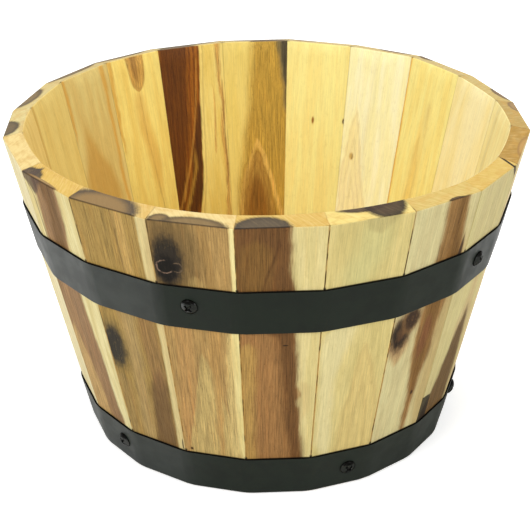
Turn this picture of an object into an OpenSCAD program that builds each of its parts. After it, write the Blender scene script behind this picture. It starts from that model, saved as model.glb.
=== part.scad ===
// Wooden barrel planter: a ring of flat, mitred staves that lean outwards, held by two steel
// hoops with screws. A boarded floor sits in a groove cut round the inside of the staves.
// Millimetres, +Z up. The origin is the centre of the circle that the staves stand on.
// Angles round the tub are degrees from the front (-Y) towards the right (+X).

/* [Tub] */
// Diameter across the outer corners of the rim
top_d = 330; // [260:1:420]
// Height from the ground to the inner edge of the rim
height = 204; // [150:1:260]
// How far the staves lean outwards, in degrees
lean = 12.2; // [4:0.1:16]

/* [Staves] */
// Number of staves round the tub
stave_count = 20; // [16:1:24]
// Thickness of the stave boards
stave_t = 12.8; // [10:0.1:20]
// Where the left edge of the first stave stands, in degrees from the front
first_joint = -6.3; // [-9:0.1:9]
// Width of the eased corners along the outer joints and round the rim
arris = 0.6; // [0.4:0.1:1.5]

/* [Hoops] */
// Thickness of the steel strip
hoop_t = 1.2; // [0.8:0.1:2]
// Width of the upper hoop's strip
upper_hoop_w = 30; // [20:1:40]
// Height of the upper hoop's lower edge on the stave faces
upper_hoop_z = 129; // [80:1:140]
// Width of the lower hoop's strip
lower_hoop_w = 29; // [20:0.5:40]
// Height of the lower hoop's lower edge on the stave faces
lower_hoop_z = 0.8; // [0.5:0.1:10]
// Where the upper hoop's ends lap, in degrees from the front
upper_lap_angle = 201; // [150:0.5:210]
// Where the lower hoop's ends lap, in degrees from the front
lower_lap_angle = 165; // [150:0.5:210]
// How far the ends of a hoop lap over each other
lap_length = 26; // [20:1:30]

/* [Hoop screws] */
// Diameter of the domed head
head_d = 10; // [7:0.5:12]
// Height of the domed head
head_h = 2.6; // [1.5:0.1:4]
// Diameter of the shank, with its thread left plain
shank_d = 3.6; // [3:0.1:4.5]
// Length of the shank under the head
shank_l = 11; // [8:0.5:12]

/* [Floor] */
// Height of the underside of the floor boards
floor_z = 22; // [18:0.5:40]
// Thickness of the floor boards
floor_t = 9.5; // [8:0.5:14]
// Number of floor boards
board_count = 5; // [3:2:7]
// Gap between neighbouring floor boards
board_gap = 1; // [0.5:0.1:3]
// Depth of the groove in the staves
groove_depth = 4; // [3:0.5:5]
// Diameter of the drain holes
drain_d = 12; // [8:1:16]
// Distance of the outer drain holes from the middle, along the boards
drain_x = 26; // [20:1:28]

/* [Battens] */
// Width of the two battens that tie the floor boards together
batten_w = 26; // [20:1:32]
// Thickness of the battens
batten_t = 10; // [8:0.5:14]
// Distance of each batten's centre line from the middle
batten_x = 50; // [50:1:56]

/* [Hidden] */
$fn = 48;
NUDGE = 1;
FAR = 2 * top_d;
CLEAR = 0.05;

step = 360 / stave_count;
half = step / 2;

// Hand-cut staves: how far each joint strays from even spacing, in degrees, and how much higher
// or lower the rim is there, in millimetres along the board. Both count from the first joint.
joint_strays = [0.1, -0.1, -0.3, -0.4, -2.2, -1.4, -0.7, 0.9, 0.1, 0.7,
                0.5, 0.4, 0.9, -0.5, -0.6, 0, -0.4, 0.6, 0.3, 0.9];
rim_strays = [0.2, 0.7, 0.5, -1.8, -1.4, 0.1, -1.5, -1.3, 0.5, -0.2,
              0.5, 0.3, 0.4, 0.4, 0.4, -0.2, 1.2, 0.4, 0.7, 0.4];
function of_joint(list, n) = list[(n - 1) % len(list)];

// The long outer corners of the tub lie on one cone
rim_z = height - stave_t * sin(lean);
corner_lean = atan(tan(lean) / cos(half));
function corner_r(z) = top_d / 2 - (rim_z - z) * tan(corner_lean);

// Joint n is the left edge of stave n, and the staves are counted towards the right
function joint_angle(n) = first_joint + step * (n - 1) + of_joint(joint_strays, n);
function stave_angle(n) = (joint_angle(n) + joint_angle(n + 1)) / 2;
function half_span(n) = (joint_angle(n + 1) - joint_angle(n)) / 2;
function turned(angle) = angle < joint_angle(1) ? angle + 360 : angle;
function stave_at(angle) = [for (n = [1:stave_count])
    if (turned(angle) >= joint_angle(n) && turned(angle) < joint_angle(n + 1)) n][0];

// The outer face of stave n: its lean, its distance from the middle and its length
function lean_of(n) = atan(tan(corner_lean) * cos(half_span(n)));
function outer_a(n, z) = corner_r(z) * cos(half_span(n));
function inner_a(n, z) = outer_a(n, z) - stave_t / cos(lean_of(n));
function face_l(n) = rim_z / cos(lean_of(n)) + (of_joint(rim_strays, n) + of_joint(rim_strays, n + 1)) / 2;
function rim_slope(n) = atan((of_joint(rim_strays, n + 1) - of_joint(rim_strays, n))
    / (2 * outer_a(n, rim_z) * tan(half_span(n))));

// Hoop screws as [angle, height]: the front ones stand where they show, the others are spread
upper_screws = [[-16.8, 145.5], [55.1, 145.5], [129, 144], [201, 144], [272.5, 144]];
lower_screws = [[-47.3, 16.5], [23.2, 15], [78.9, 18], [165, 15], [236, 15]];

lap_gap = 0.3;
hole_play = 0.8;

head_rim_h = 0.6;
head_crown_h = head_h - head_rim_h;
recess_w = 1.2;
recess_l = 5;
recess_depth = 1.5;
tip_l = 3;
tip_d = 0.6;

// The floor boards run along X and lie in the groove with room to swell
groove_h = floor_t + 0.5;
floor_play = 1;
even_inner_r = corner_r(floor_z) - stave_t / cos(lean) / cos(half);
floor_r = even_inner_r + (groove_depth - floor_play) / cos(half);
floor_a = floor_r * cos(half);
function groove_a(n) = inner_a(n, floor_z) + groove_depth;
board_pitch = 2 * floor_a / board_count;
board_w = board_pitch - board_gap;
drain_places = concat([[0, 0]],
    [for (i = [-1, 1]) for (j = [-1, 1]) [i * drain_x, j * board_pitch]]);

// The battens run along Y under the boards, stopping short of the staves
batten_r = even_inner_r * cos(half) - batten_t * tan(lean);
batten_half_l = sqrt(pow(batten_r, 2) - pow(batten_x + batten_w / 2, 2)) - 2;
batten_screw_l = 16;
batten_screw_d = 3.5;
batten_head_d = 7;
batten_head_h = 2;
last_screw_y = batten_half_l - 6;
middle_boards = [for (b = [1:board_count]) if (abs(board_y(b)) < last_screw_y) board_y(b)];
batten_screw_ys = concat([-last_screw_y], middle_boards, [last_screw_y]);
function board_y(b) = (b - (board_count + 1) / 2) * board_pitch;

function two_digits(n) = str(n < 10 ? "0" : "", n);
function stave_name(n) = str("stave_", two_digits(n));
function board_name(b) = str("floor_board_", b);

// A place on the outer face of the stave at this angle and height, with +Z straight out of it
module on_face(angle, z, lift = 0) {
    n = stave_at(angle);
    sideways = outer_a(n, z) * tan(turned(angle) - stave_angle(n));
    rotate([0, 0, stave_angle(n)])
        translate([sideways, -outer_a(n, z), z])
            rotate([90 + lean_of(n), 0, 0])
                translate([0, 0, lift])
                    children();
}

// The slice of the tub between the joints of stave n, turned to face the front
module mitre_wedge(n) {
    side = FAR * tan(half_span(n));
    translate([0, 0, -NUDGE])
        linear_extrude(height + FAR)
            polygon([[0, 0], [-side, -FAR], [side, -FAR]]);
}

// Stands things on the foot of stave n's outer face, at its lean, with the stave facing the front
module leaning(n) {
    translate([0, -outer_a(n, 0), 0]) rotate([lean_of(n), 0, 0]) children();
}

// Sets things on the top of stave n's outer face, which slopes a little to one side
module at_rim(n) {
    leaning(n) translate([0, 0, face_l(n)]) rotate([0, -rim_slope(n), 0]) children();
}

// A square bar along Z that comes in from -Y, far enough to take the arris off an edge at the origin
module arris_bar() {
    bar = 6 * arris;
    translate([-bar / 2, arris / sqrt(2) - bar, -FAR / 2]) cube([bar, bar, FAR]);
}

// The bar laid along the rim, to come in from this angle below the outside
module rim_arris(turn) {
    rotate([turn, 0, 0]) rotate([0, 90, 0]) arris_bar();
}

// The bar set on the long corner where a stave's face meets its joint, left (-1) or right (1)
module joint_arris(n, side) {
    rotate([0, 0, side * half_span(n)])
        translate([0, -corner_r(0), 0])
            rotate([corner_lean, 0, 0])
                rotate([0, 0, side * 45])
                    arris_bar();
}

// Stave n turned to face the front: leaning board, mitred edges, square top and level foot
module stave_blank(n) {
    difference() {
        intersection() {
            at_rim(n) translate([-FAR / 2, 0, -FAR]) cube([FAR, stave_t, FAR]);
            mitre_wedge(n);
            translate([-FAR / 2, -FAR / 2, 0]) cube(FAR);
        }
        at_rim(n) {
            rim_arris(-45);
            translate([0, stave_t, 0]) rim_arris(-135);
        }
        joint_arris(n, -1);
        joint_arris(n, 1);
        translate([-FAR / 2, -groove_a(n), floor_z]) cube([FAR, FAR / 2, groove_h]);
    }
}

module stave(n) {
    tint = n % 3 == 0 ? "burlywood" : n % 3 == 1 ? "khaki" : "peru";
    color(tint)
        difference() {
            rotate([0, 0, stave_angle(n)]) stave_blank(n);
            for (s = concat(upper_screws, lower_screws))
                if (stave_at(s[0]) == n)
                    on_face(s[0], s[1], -shank_l)
                        cylinder(d = shank_d, h = shank_l + NUDGE);
        }
}

// A many-sided cone through the outer faces of all the staves, moved out by this much
module face_cone(out) {
    intersection_for (n = [1:stave_count])
        rotate([0, 0, stave_angle(n)])
            leaning(n)
                translate([-FAR / 2, -out, -FAR / 2])
                    cube([FAR, 2 * FAR, FAR]);
}

// A piece of strip that lies on stave n, turned to face the front, between these two depths
module strip(n, left, right, from, to) {
    leaning(n)
        translate([left, -to, -height])
            cube([right - left, to - from, 3 * height]);
}

// A hoop: one strip bent at each joint. It starts on the lap stave, goes once round towards
// the right, and steps out over its own start there.
module hoop(z, width, lap_angle, screws) {
    lap_stave = stave_at(lap_angle);
    lap_turn = stave_angle(lap_stave);
    start_x = -lap_length / 2;
    step_x = start_x - lap_gap;
    outer_ply = hoop_t + CLEAR;
    difference() {
        intersection() {
            union() {
                difference() {
                    face_cone(hoop_t);
                    face_cone(0);
                    rotate([0, 0, lap_turn]) strip(lap_stave, step_x, start_x, -NUDGE, hoop_t + NUDGE);
                }
                rotate([0, 0, lap_turn]) {
                    strip(lap_stave, step_x - hoop_t, step_x, 0, outer_ply + hoop_t);
                    strip(lap_stave, step_x - hoop_t, lap_length / 2, outer_ply, outer_ply + hoop_t);
                }
            }
            translate([-FAR / 2, -FAR / 2, z]) cube([FAR, FAR, width * cos(lean)]);
        }
        for (s = screws)
            on_face(s[0], s[1], -NUDGE)
                cylinder(d = shank_d + hole_play, h = 4 * hoop_t + NUDGE);
    }
}

module upper_hoop() {
    color("darkslategray") hoop(upper_hoop_z, upper_hoop_w, upper_lap_angle, upper_screws);
}

module lower_hoop() {
    color("darkslategray") hoop(lower_hoop_z, lower_hoop_w, lower_lap_angle, lower_screws);
}

// A domed head with a cross recess on a plain, pointed shank. Z = 0 is the head's underside.
module hoop_screw() {
    crown_r = (pow(head_d / 2, 2) + pow(head_crown_h, 2)) / (2 * head_crown_h);
    difference() {
        union() {
            cylinder(d = head_d, h = head_rim_h);
            intersection() {
                translate([0, 0, head_h - crown_r]) sphere(r = crown_r);
                translate([0, 0, head_rim_h]) cylinder(d = head_d, h = head_h);
            }
        }
        for (turn = [0, 90])
            rotate([0, 0, 45 + turn])
                translate([0, 0, head_h])
                    cube([recess_l, recess_w, 2 * recess_depth], center = true);
    }
    translate([0, 0, tip_l - shank_l]) cylinder(d = shank_d, h = shank_l - tip_l);
    translate([0, 0, -shank_l]) cylinder(d1 = tip_d, d2 = shank_d, h = tip_l);
}

// Screws through a hoop. The one at the lap passes both ends of the strip.
module hoop_screws(screws, lap_angle) {
    for (s = screws) {
        lapped = stave_at(s[0]) == stave_at(lap_angle);
        steel = lapped ? 2 * hoop_t + CLEAR : hoop_t;
        on_face(s[0], s[1], steel) hoop_screw();
    }
}

module upper_hoop_screws() {
    color("dimgray") hoop_screws(upper_screws, upper_lap_angle);
}

module lower_hoop_screws() {
    color("dimgray") hoop_screws(lower_screws, lower_lap_angle);
}

// The outline of the whole floor: one flat side to each stave
module floor_outline() {
    polygon([for (n = [1:stave_count]) floor_r * [sin(joint_angle(n)), -cos(joint_angle(n))]]);
}

module floor_board(b) {
    color("burlywood")
        difference() {
            translate([0, 0, floor_z])
                linear_extrude(floor_t)
                    intersection() {
                        floor_outline();
                        translate([0, board_y(b)]) square([FAR, board_w], center = true);
                    }
            for (p = drain_places)
                if (abs(p[1] - board_y(b)) < board_w / 2)
                    translate([p[0], p[1], floor_z - NUDGE])
                        cylinder(d = drain_d, h = floor_t + 2 * NUDGE);
            at_batten_screws() cylinder(d = batten_screw_d, h = batten_screw_l);
        }
}

// Each batten screw stands head down, with Z = 0 at the batten's underside
module at_batten_screws() {
    for (side = [-1, 1])
        for (y = batten_screw_ys)
            translate([side * batten_x, y, floor_z - batten_t]) children();
}

module batten(side) {
    color("tan")
        difference() {
            translate([side * batten_x - batten_w / 2, -batten_half_l, floor_z - batten_t])
                cube([batten_w, 2 * batten_half_l, batten_t]);
            at_batten_screws() {
                translate([0, 0, -NUDGE]) cylinder(d = batten_screw_d, h = batten_t + 2 * NUDGE);
                cylinder(d1 = batten_head_d, d2 = batten_screw_d, h = batten_head_h);
            }
        }
}

module left_batten() {
    batten(-1);
}

module right_batten() {
    batten(1);
}

module batten_screws() {
    color("silver")
        at_batten_screws() {
            cylinder(d1 = batten_head_d, d2 = batten_screw_d, h = batten_head_h);
            cylinder(d = batten_screw_d, h = batten_screw_l - tip_l);
            translate([0, 0, batten_screw_l - tip_l])
                cylinder(d1 = batten_screw_d, d2 = tip_d, h = tip_l);
        }
}

for (n = [1:stave_count])
    stave(n);
upper_hoop();
lower_hoop();
upper_hoop_screws();
lower_hoop_screws();
for (b = [1:board_count])
    floor_board(b);
left_batten();
right_batten();
batten_screws();
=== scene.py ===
"""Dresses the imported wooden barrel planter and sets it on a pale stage, as seen from the front and above.

Every stave, hoop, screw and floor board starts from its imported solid, so each stays where it was made.
"""
import math
from functools import partial

import bmesh
import bpy
from mathutils import Matrix, Vector


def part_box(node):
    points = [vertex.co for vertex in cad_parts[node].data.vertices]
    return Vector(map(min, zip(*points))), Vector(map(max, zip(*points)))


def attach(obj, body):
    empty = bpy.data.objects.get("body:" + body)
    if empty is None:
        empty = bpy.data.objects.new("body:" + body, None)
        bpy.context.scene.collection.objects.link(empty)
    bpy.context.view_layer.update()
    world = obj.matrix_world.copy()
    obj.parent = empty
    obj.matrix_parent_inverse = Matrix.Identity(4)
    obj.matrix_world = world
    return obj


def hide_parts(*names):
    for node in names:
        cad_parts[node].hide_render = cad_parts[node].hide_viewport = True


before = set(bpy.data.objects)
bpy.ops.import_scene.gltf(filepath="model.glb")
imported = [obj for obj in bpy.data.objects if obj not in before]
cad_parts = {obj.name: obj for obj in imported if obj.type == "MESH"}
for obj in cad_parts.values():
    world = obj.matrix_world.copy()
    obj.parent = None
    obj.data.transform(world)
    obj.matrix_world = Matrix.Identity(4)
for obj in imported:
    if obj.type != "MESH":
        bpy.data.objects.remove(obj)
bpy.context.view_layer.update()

bl_info = {
    "name": "Wooden barrel planter",
    "version": (1, 0, 0),
    "blender": (4, 5, 0),
    "location": "View3D > Sidebar > Planter",
    "description": "Builds the visible pieces of a barrel planter over its packed solids",
    "category": "Object",
}

MM = 0.001

# Measures on a board, in millimetres
STAVE_THICKNESS = 12.8  # as the boards are cut
HEIGHT_RANGE = 210.0  # length of board that a streak's outline is drawn over
SIDE_RANGE = 40.0  # how far to either side of a board's middle an outline may reach
FACE_SPLIT = (6.0, 7.0)  # depth at which the inner face's tones take over from the outer face's
KNOT_DEPTH = 9.0
SANDED_ACROSS = range(-20, 21, 5)  # places across a board where the sanded hollow is shaped
SANDED_STEPS = (1.5, 4.0, 7.0, 10.0)  # the same, down from the rim
SANDED_SKIN = 1.5  # how far outside the inner face sanding still moves a corner
HOOP_TOPS = [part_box(hoop)[1][2] / MM for hoop in ("lower_hoop", "upper_hoop")]  # above the ground
LONG_EDGE = 5.0  # shorter edges belong to bores and arcs, and stay as cut
STRIP_HEIGHT = 20.0  # a hoop's bends rise more than this, and the sides of its bores less
SHORT_CUT = 1.2  # a hoop's edges up to this long stay crisp
FLOOR_ARRIS = 0.3  # how much of each face a softened edge of a floor board or batten takes

# Angles between two faces, in radians
BOARD_ARRIS = 0.3  # least angle of a stave's edge that is softened
BEND = (0.1, 0.6)  # range of a hoop's bends at the joints
CUT_EDGE = 1.2  # least angle of a hoop's thin edges
CRISP = 0.9  # angle from which a hoop's edge is not shaded over

HEART_BRIGHTNESS = 0.9  # a streak whose linear red, green and blue add up to less is heartwood
LAP_ANGLES = {"upper_hoop": 201, "lower_hoop": 165}  # degrees from the front to where the ends lap
LAP_REACH = 10  # degrees to either side of the lap where edges stay crisp
FLOOR_BOARDS = 5
CAMERA_PLACE = (0.0, -0.8418, 0.5196)
CAMERA_TURNS = (("Z", 0.072), ("X", 63.35), ("Z", -0.374))  # degrees, outermost first
LAMP_TARGET = Vector((0, 0, 0.1))
FLOOR_DROP = 0.0002  # metres that the studio floor lies below the feet


# ----------------------------------------
# Colours and nodes


def linear(hex_colour):
    """Turns an sRGB hex colour into the linear red, green, blue and alpha that shaders take."""
    channels = [int(hex_colour[i:i + 2], 16) / 255 for i in (0, 2, 4)]
    return [c / 12.92 if c <= 0.04045 else ((c + 0.055) / 1.055) ** 2.4 for c in channels] + [1.0]


def add(tree, kind, inputs=(), **settings):
    """Adds one node. Inputs are values, nodes or sockets to link from, in order or by socket name."""
    node = tree.nodes.new(kind)
    for name, value in settings.items():
        setattr(node, name, value)
    for socket, value in inputs.items() if isinstance(inputs, dict) else enumerate(inputs):
        if isinstance(value, bpy.types.Node):
            value = value.outputs[0]
        if isinstance(value, bpy.types.NodeSocket):
            tree.links.new(value, node.inputs[socket])
        else:
            node.inputs[socket].default_value = value
    return node


def new_material(name):
    """A material with an empty node tree, and that tree."""
    material = bpy.data.materials.new(name)
    material.use_nodes = True
    material.node_tree.nodes.clear()
    return material, material.node_tree


def shaded(material, inputs):
    """Ends a material in one shader with these inputs."""
    shader = add(material.node_tree, "ShaderNodeBsdfPrincipled", inputs)
    add(material.node_tree, "ShaderNodeOutputMaterial", [shader])
    return material


def math_node(tree, operation, *values):
    """One sum on numbers or sockets."""
    return add(tree, "ShaderNodeMath", values, operation=operation).outputs[0]


def product(tree, value, *factors):
    """Multiplies numbers or sockets one after the other."""
    for factor in factors:
        value = math_node(tree, "MULTIPLY", value, factor)
    return value


def scaled(tree, value, factor, extra):
    """A value times a factor, with something added."""
    return math_node(tree, "MULTIPLY_ADD", value, factor, extra)


def past(tree, value, middle, half):
    """How far a value is past a middle, where 1 is half the width away."""
    return scaled(tree, value, 1 / half, -middle / half)


def distance(tree, *parts):
    """The length of the vector with these parts."""
    vector = add(tree, "ShaderNodeCombineXYZ", parts)
    return add(tree, "ShaderNodeVectorMath", [vector], operation="LENGTH").outputs["Value"]


def ramp(tree, value, start, end, low=0.0, high=1.0):
    """Goes smoothly from low at start to high at end."""
    return add(tree, "ShaderNodeMapRange", {
        "Value": value, "From Min": start, "From Max": end, "To Min": low, "To Max": high,
    }, interpolation_type="SMOOTHSTEP").outputs[0]


def tint(tree, share, under, over, blend="MIX"):
    """Lays one colour over another by this share. A colour may be a socket or an sRGB hex code."""
    under, over = [linear(c) if isinstance(c, str) else c for c in (under, over)]
    return add(tree, "ShaderNodeMix", {0: share, 6: under, 7: over},
               data_type="RGBA", blend_type=blend).outputs[2]


def darken(tree, share, colour, filter_colour):
    """Multiplies a colour by another, by this share."""
    return tint(tree, share, colour, filter_colour, "MULTIPLY")


def place_on(tree):
    """Where a point lies on its object, in metres."""
    return add(tree, "ShaderNodeTexCoord").outputs["Object"]


def speckle(tree, scale, detail):
    """Fine noise from 0 to 1, the same over the whole planter."""
    return add(tree, "ShaderNodeTexNoise", {
        "Vector": place_on(tree), "Scale": scale, "Detail": detail,
    }).outputs[0]


# ----------------------------------------
# The staves' wood: what each board shows, in millimetres on the board.
# x runs across it, to the right as seen from outside, and z runs up it from the foot.


def streak(colour, soft, strength, along, face="out", rings=None, deep=None):
    """A streak of another colour, drawn as (z, left edge, right edge), which ends where its left edge
    passes its right. Its edges fade over soft to either side. Rings are growth lines beside its edge, by
    spacing and strength. Deep is how far it runs into the board where the stave's own depth won't do."""
    return {"colour": colour, "soft": soft, "strength": strength, "along": along, "face": face,
            "rings": rings, "deep": deep}


def knot(at, size, core, halo, face="out", eye=None):
    """A knot at (x, z) with these half widths, in three colours."""
    return {"at": at, "size": size, "core": core, "halo": halo, "face": face, "eye": eye}


def stave(outside, inside, rim, deep_out, deep_in, streaks, knots=(), ends=(), **marks):
    """The wood of one stave: two sapwood tones for its outer face and two for its inner one, the end
    grain's colour, and how deep streaks run in from each face. An end stain is (x, half width, depth,
    face, inner colour, edge colour). Marks are swirls round knots, as (x, z, radius, colour, degrees
    towards the open side), the rim gap's x at the outer and inner face, and the strength of the glue
    lines at its left and right."""
    return {"outside": outside, "inside": inside, "rim": rim, "deep": {"out": deep_out, "in": deep_in},
            "streaks": streaks, "knots": knots, "ends": ends, **marks}


STAVES = {}
STAVES[1] = stave(("DACA8E", "D0BF80"), ("E8CB78", "DDBB66"), "C8A656", 12, 12, [
    streak("986E3E", 1.8, 1.0, [
        (0, -40, 14), (30, -40, 13.6), (50, -40, 12.6), (70, -40, 11.6), (77, -40, 10), (84, -40, 12.4),
        (90, -40, 10.6), (110, -40, 9.4), (130, -40, 8.6), (163, -40, 7.6), (180, -40, 4.6),
        (190, -40, 5), (206, -40, 5.8)]),
    streak("5E3D1B", 3.8, 0.83, [
        (0, 7, 16), (40, 5.6, 14.5), (60, 3, 12.5), (95, 1, 10.4), (125, -2, 9.5), (140, -16, 8),
        (165, -27, 7), (206, -28, 5.5)]),
    streak("AE8B49", 3, 0.8, [
        (10, -10, -20), (30, -24, -13), (60, -24, -14.5), (115, -24, -14), (128, -14, -22)]),
    streak("8A672C", 6, 0.4, [(158, -10, -18), (168, -24, -6), (185, -24, -4), (200, -12, -18)]),
    streak("46290F", 0.8, 0.5, [(150, -8, -12), (163, -10.4, -9), (194, -2.4, -0.8), (203, 0, -2)]),
    streak("C4AB70", 2.5, 0.5, [(60, 15, 11), (66, 13, 16), (74, 13, 18), (88, 12, 18), (96, 14, 10)]),
], knots=[knot((3, 122), (1.8, 0.6), "2E1E10", "65441F")], ends=[
    (-10.5, 16.2, 10, "out", "4E4336", "38322B"),
])
STAVES[2] = stave(("D4C280", "C8B674"), ("E8CB78", "DDBB66"), "DAC475", 12, 12, [
    streak("C6BE80", 7, 0.75, [(156, 2, -10), (166, -12, 4), (185, -8, 12), (206, -4, 14)]),
    streak("D9CD98", 3, 0.75, [(10, 0, -8), (40, -17, -8), (90, -20, -10), (125, -20, -2), (138, 2, -8)]),
    streak("D2B974", 3, 0.7, [
        (0, -6, 22), (60, -3, 20), (95, 2, 14), (112, 4, 9), (120, 9, 5)], rings=(6, 0.06)),
    streak("8E7446", 3, 0.3, [(194, 9, 3), (200, -1, 11), (206, -4, 17)]),
], ends=[
    (-1, 16.5, 6, "in", "4A3A2C", "33271C"),
    (11, 13, 14.5, "in", "3A2A1E", "20150E"),
])
STAVES[3] = stave(("CEC38E", "C5B784"), ("E8CB78", "DDBB66"), "C4AA60", 12, 12, [
    streak("B59D66", 5, 0.9, [
        (20, 22, 16), (40, 12, 24), (90, 12, 26), (140, 14, 26), (165, 16, 24), (180, 22, 18)]),
    streak("906B39", 2.4, 1.0, [
        (0, 3.8, 6.6), (28, 4, 7.4), (50, 3.6, 9.2), (62, 3.2, 10.4), (72, 1.6, 11), (90, -0.8, 14.2),
        (110, -2, 15.8), (131, -1, 18), (160, 0.6, 21.6), (180, 1, 18.6), (206, 0.6, 16.6)]),
    streak("6C4A1C", 3, 0.75, [
        (45, 8, 5), (60, 5.4, 8.6), (100, 3, 12), (131, 4, 14), (160, 9, 20), (180, 9, 15),
        (206, 9, 14)]),
    streak("7C4A2C", 3, 0.6, [(85, 8, 2), (98, 2, 9), (112, 3, 11), (126, 9, 5)]),
    streak("B98E58", 2.5, 0.6, [(88, -12, -18), (96, -17, -10), (108, -22, -8), (116, -12, -20)]),
    streak("33241A", 0.7, 0.85, [(148, 21, 17), (156, 17.6, 21), (170, 19, 20.8), (181, 21, 19.4)]),
], knots=[
    knot((-15.4, 116), (8.4, 14), "2A1C12", "74502E", eye="573A20"),
    knot((-8, 125), (6.4, 9), "3A2618", "8A6438"),
    knot((7.4, 61), (1.2, 1.8), "3A2414", "74501F"),
], ends=[(6, 6, 2, "out", "5A4426", "3A2A18")], joint_lines=(1.0, 0.2))
STAVES[4] = stave(("C8BB80", "C0B17A"), ("F4E6A6", "EAD68E"), "C8A958", 12, 12, [
    streak("BFA070", 4, 0.6, [(70, 14, 8), (90, 0, 18), (115, 6, 15), (132, 9, 13), (145, 13, 9)]),
    streak("6B5029", 2.8, 1.0, [
        (0, -18, 16), (30, -17, 16.2), (40, -14, 16.6), (50, -7.8, 17.2), (70, -2.8, 16.2),
        (90, 3.2, 14.2), (102, 8, 12), (112, 12, 9)]),
    streak("221608", 0.9, 0.9, [
        (0, -24, -10), (30, -24, -7.5), (45, -24, -7.8), (48.6, -24, -9.5), (50, -24, -17),
        (51, -15, -25)]),
    streak("3A2610", 0.6, 0.95, [
        (192, 26, 22), (196, 22.4, 25), (200, 20.4, 23), (203, 18.8, 21.4), (206, 17.6, 20.4)]),
], rim_gap=(18.6, 22.6), joint_lines=(0.2, 1.0))
STAVES[5] = stave(("CDB98A", "D6C28C"), ("F4E6A6", "EAD68E"), "A07A30", 12, 12, [
    streak("B99466", 3, 0.6, [(0, -12, 8), (60, -8, 5), (110, -2, 0), (130, 2, -4)], rings=(6, 0.12)),
], ends=[(0, 16, 4, "out", "B08A4E", "94703C")])
STAVES[6] = stave(("D9C78A", "CDB87A"), ("F6EAAA", "F1DF98"), "AB8D49", 9, 9, [
    streak("98723C", 2, 1.0, [(0, 4, 40), (80, 7, 40), (150, 10, 40), (206, 8, 40)]),
    streak("76532A", 4, 0.7, [(0, 5, 12), (90, 8, 15), (206, 9, 16)]),
], ends=[(18, 10, 6, "out", "9A7C50", "7A6040")])
STAVES[7] = stave(("DFCF90", "D3BE80"), ("FBEFB6", "F6E6A2"), "BDA665", 8, 4, [
    streak("9E7A46", 3, 1.0, [(0, -40, -4), (70, -40, -8), (130, -40, -6), (206, -40, -9)]),
    streak("FAF0BC", 3, 0.7, [(0, -14, 2), (120, -12, 4), (206, -14, 6)], face="in"),
], knots=[knot((9, 84), (5, 9), "3A2C22", "8C6A3E")], ends=[(-12, 13, 5, "out", "7A6042", "584634")])
STAVES[8] = stave(("E4D592", "DBC684"), ("F8EC98", "F5E288"), "BDA96F", 8, 4, [
    streak("E8AC3E", 0.8, 0.8, [(0, 17, 19.4), (120, 18.8, 21), (206, 21.8, 24)], face="in"),
    streak("EFC65E", 5, 0.6, [
        (0, -6, 8), (110, -3, 6), (150, 0, 3), (170, 4, 0)], face="in", rings=(6, 0.06)),
    streak("C79B58", 5, 0.7, [(0, -12, 4), (80, -10, 6), (150, -6, 2), (190, 0, -6)]),
], knots=[knot((6, 96), (4, 7), "3A2C22", "8C6A3E")], ends=[(20, 8, 6, "out", "6A543C", "4C3E30")])
STAVES[9] = stave(("E9DDA6", "DDCB8C"), ("FDFACE", "FAF4B9"), "C1AD75", 9, 4, [
    streak("98723C", 1.4, 1.0, [(0, -13, 6), (60, -14, 9), (120, -17, 8), (206, -18, 7)]),
    streak("6A4A2E", 3, 0.75, [(0, -2, 6), (120, 0, 8), (206, -3, 7)]),
    streak("F4E2A0", 1.5, 0.6, [
        (90, -4, 20), (120, 4, 20), (150, 9, 16), (168, 14, 12)], face="in", rings=(4, 0.05)),
], knots=[knot((13, 127), (1.6, 2.6), "C9A862", "E0C482", face="in")], ends=[
    (-6, 14, 7, "out", "7A6042", "584634"),
])
STAVES[10] = stave(("E2D08C", "D2B976"), ("F5EA98", "F3E18C"), "C1AD75", 9, 9, [
    streak("A5803F", 2.5, 1.0, [(0, -3, 40), (100, 2, 40), (206, 5, 40)]),
], knots=[
    knot((1.4, 150), (0.9, 2.6), "8A5A1A", "C49A4A", face="in"),
    knot((-21.6, 151), (1, 2), "5A4A24", "B89A58", face="in"),
], ends=[(14, 11, 6, "out", "8A7050", "5C4A38")])
STAVES[11] = stave(("E4D592", "D9C27A"), ("E0C86C", "E4CE77"), "C1AD75", 7, 8, [
    streak("98723C", 1.6, 1.0, [(0, -40, 2), (90, -40, 6), (140, -40, 4), (206, -40, 8)]),
    streak("B6923C", 5, 1.0, [
        (0, -40, 14), (90, -40, 14), (140, -40, 9), (170, -40, 5), (206, -40, 3)], face="in"),
    streak("A67C38", 3.2, 0.75, [
        (0, -19, 20), (70, -15, 15), (95, -11, 11.5), (115, -6.5, 7),
        (132, 4, -3)], face="in", rings=(3.6, 0.1)),
    streak("7E5018", 4, 0.8, [
        (0, -14, 12), (70, -9, 9), (90, -6, 7), (104, -2, 3), (112, 4, -3)], face="in"),
    streak("DCB25C", 1.0, 0.75, [
        (70, -19, -21), (80, -18.5, -15), (100, -13.5, -10.6), (125, -5, -1.4), (133, -1.4, 1),
        (137, 2, -2)], face="in"),
    streak("D6AC58", 1.0, 0.5, [
        (74, 16, 10), (80, 11, 13.4), (100, 8.4, 11), (125, 2, 5), (133, -0.6, 1.4),
        (137, 2, -2)], face="in"),
    streak("5E5840", 2.4, 0.85, [
        (146, -21, -25), (160, -25, -21), (178, -25, -19.4), (192, -25, -17.6),
        (206, -26, -15)], face="in"),
    streak("3E3A2E", 1.2, 0.8, [
        (150, -22, -25), (164, -25, -22.4), (186, -25, -20.6), (206, -26, -18.4)], face="in"),
], ends=[
    (-10, 14, 8, "in", "6E5A42", "4C3E30"),
    (-2, 26, 6, "out", "5A4A36", "3E3428"),
])
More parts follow.
